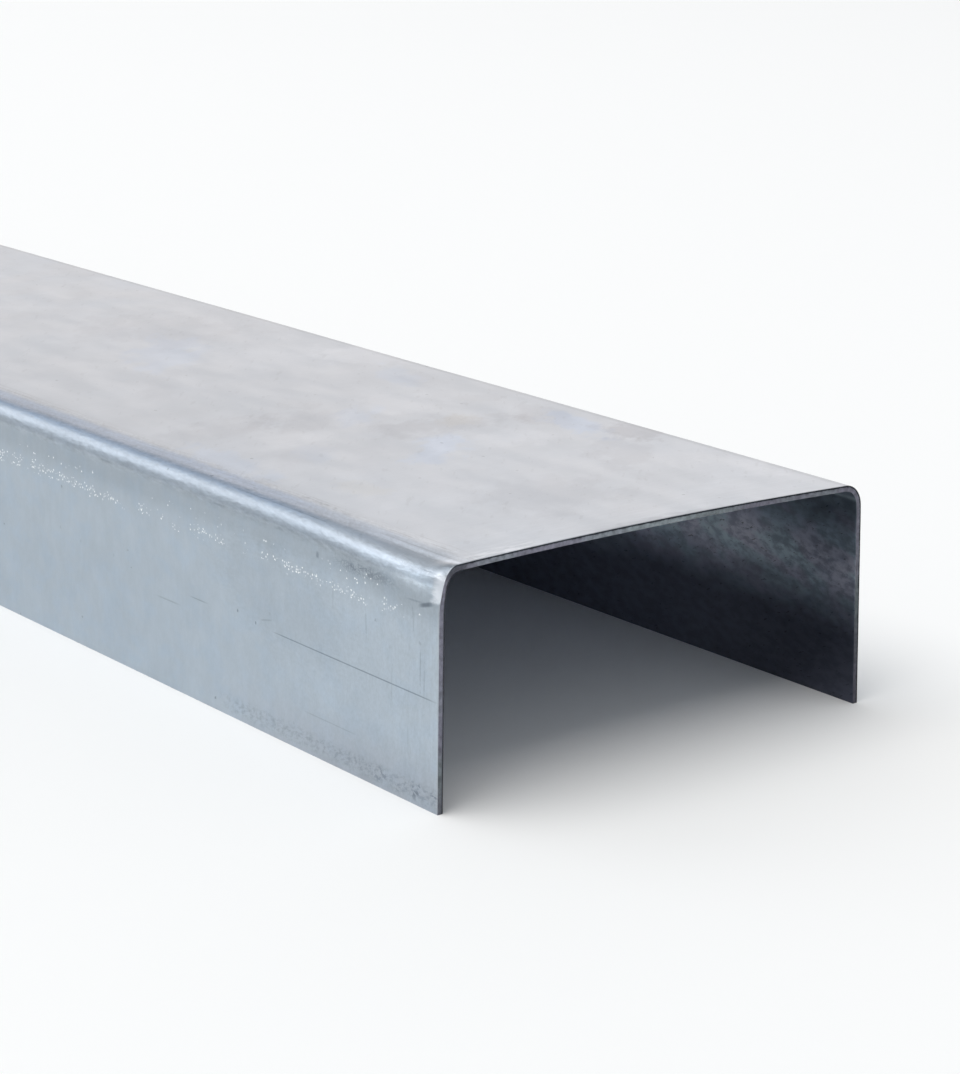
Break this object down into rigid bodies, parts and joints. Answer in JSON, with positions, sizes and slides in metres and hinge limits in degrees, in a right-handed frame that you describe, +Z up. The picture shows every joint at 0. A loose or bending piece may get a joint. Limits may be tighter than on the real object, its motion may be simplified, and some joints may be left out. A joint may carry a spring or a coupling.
{
  "type": "steel track",
  "caption": "Plain U-section framing track roll-formed from galvanised steel sheet: a flat web with a short leg along each side that leans slightly outward.",
  "frame": {"origin": "on the floor that the slit edges rest on, under the middle of the track's length and width", "axes": "+X along the length, +Y across the web, +Z up and out of the web's outer face"},
  "size_m": [2.4, 0.073, 0.032],
  "materials": {
    "galvanised_steel": "satin"
  },
  "bodies": {
    "root": {"track": "galvanised_steel"}
  },
  "joints": []
}
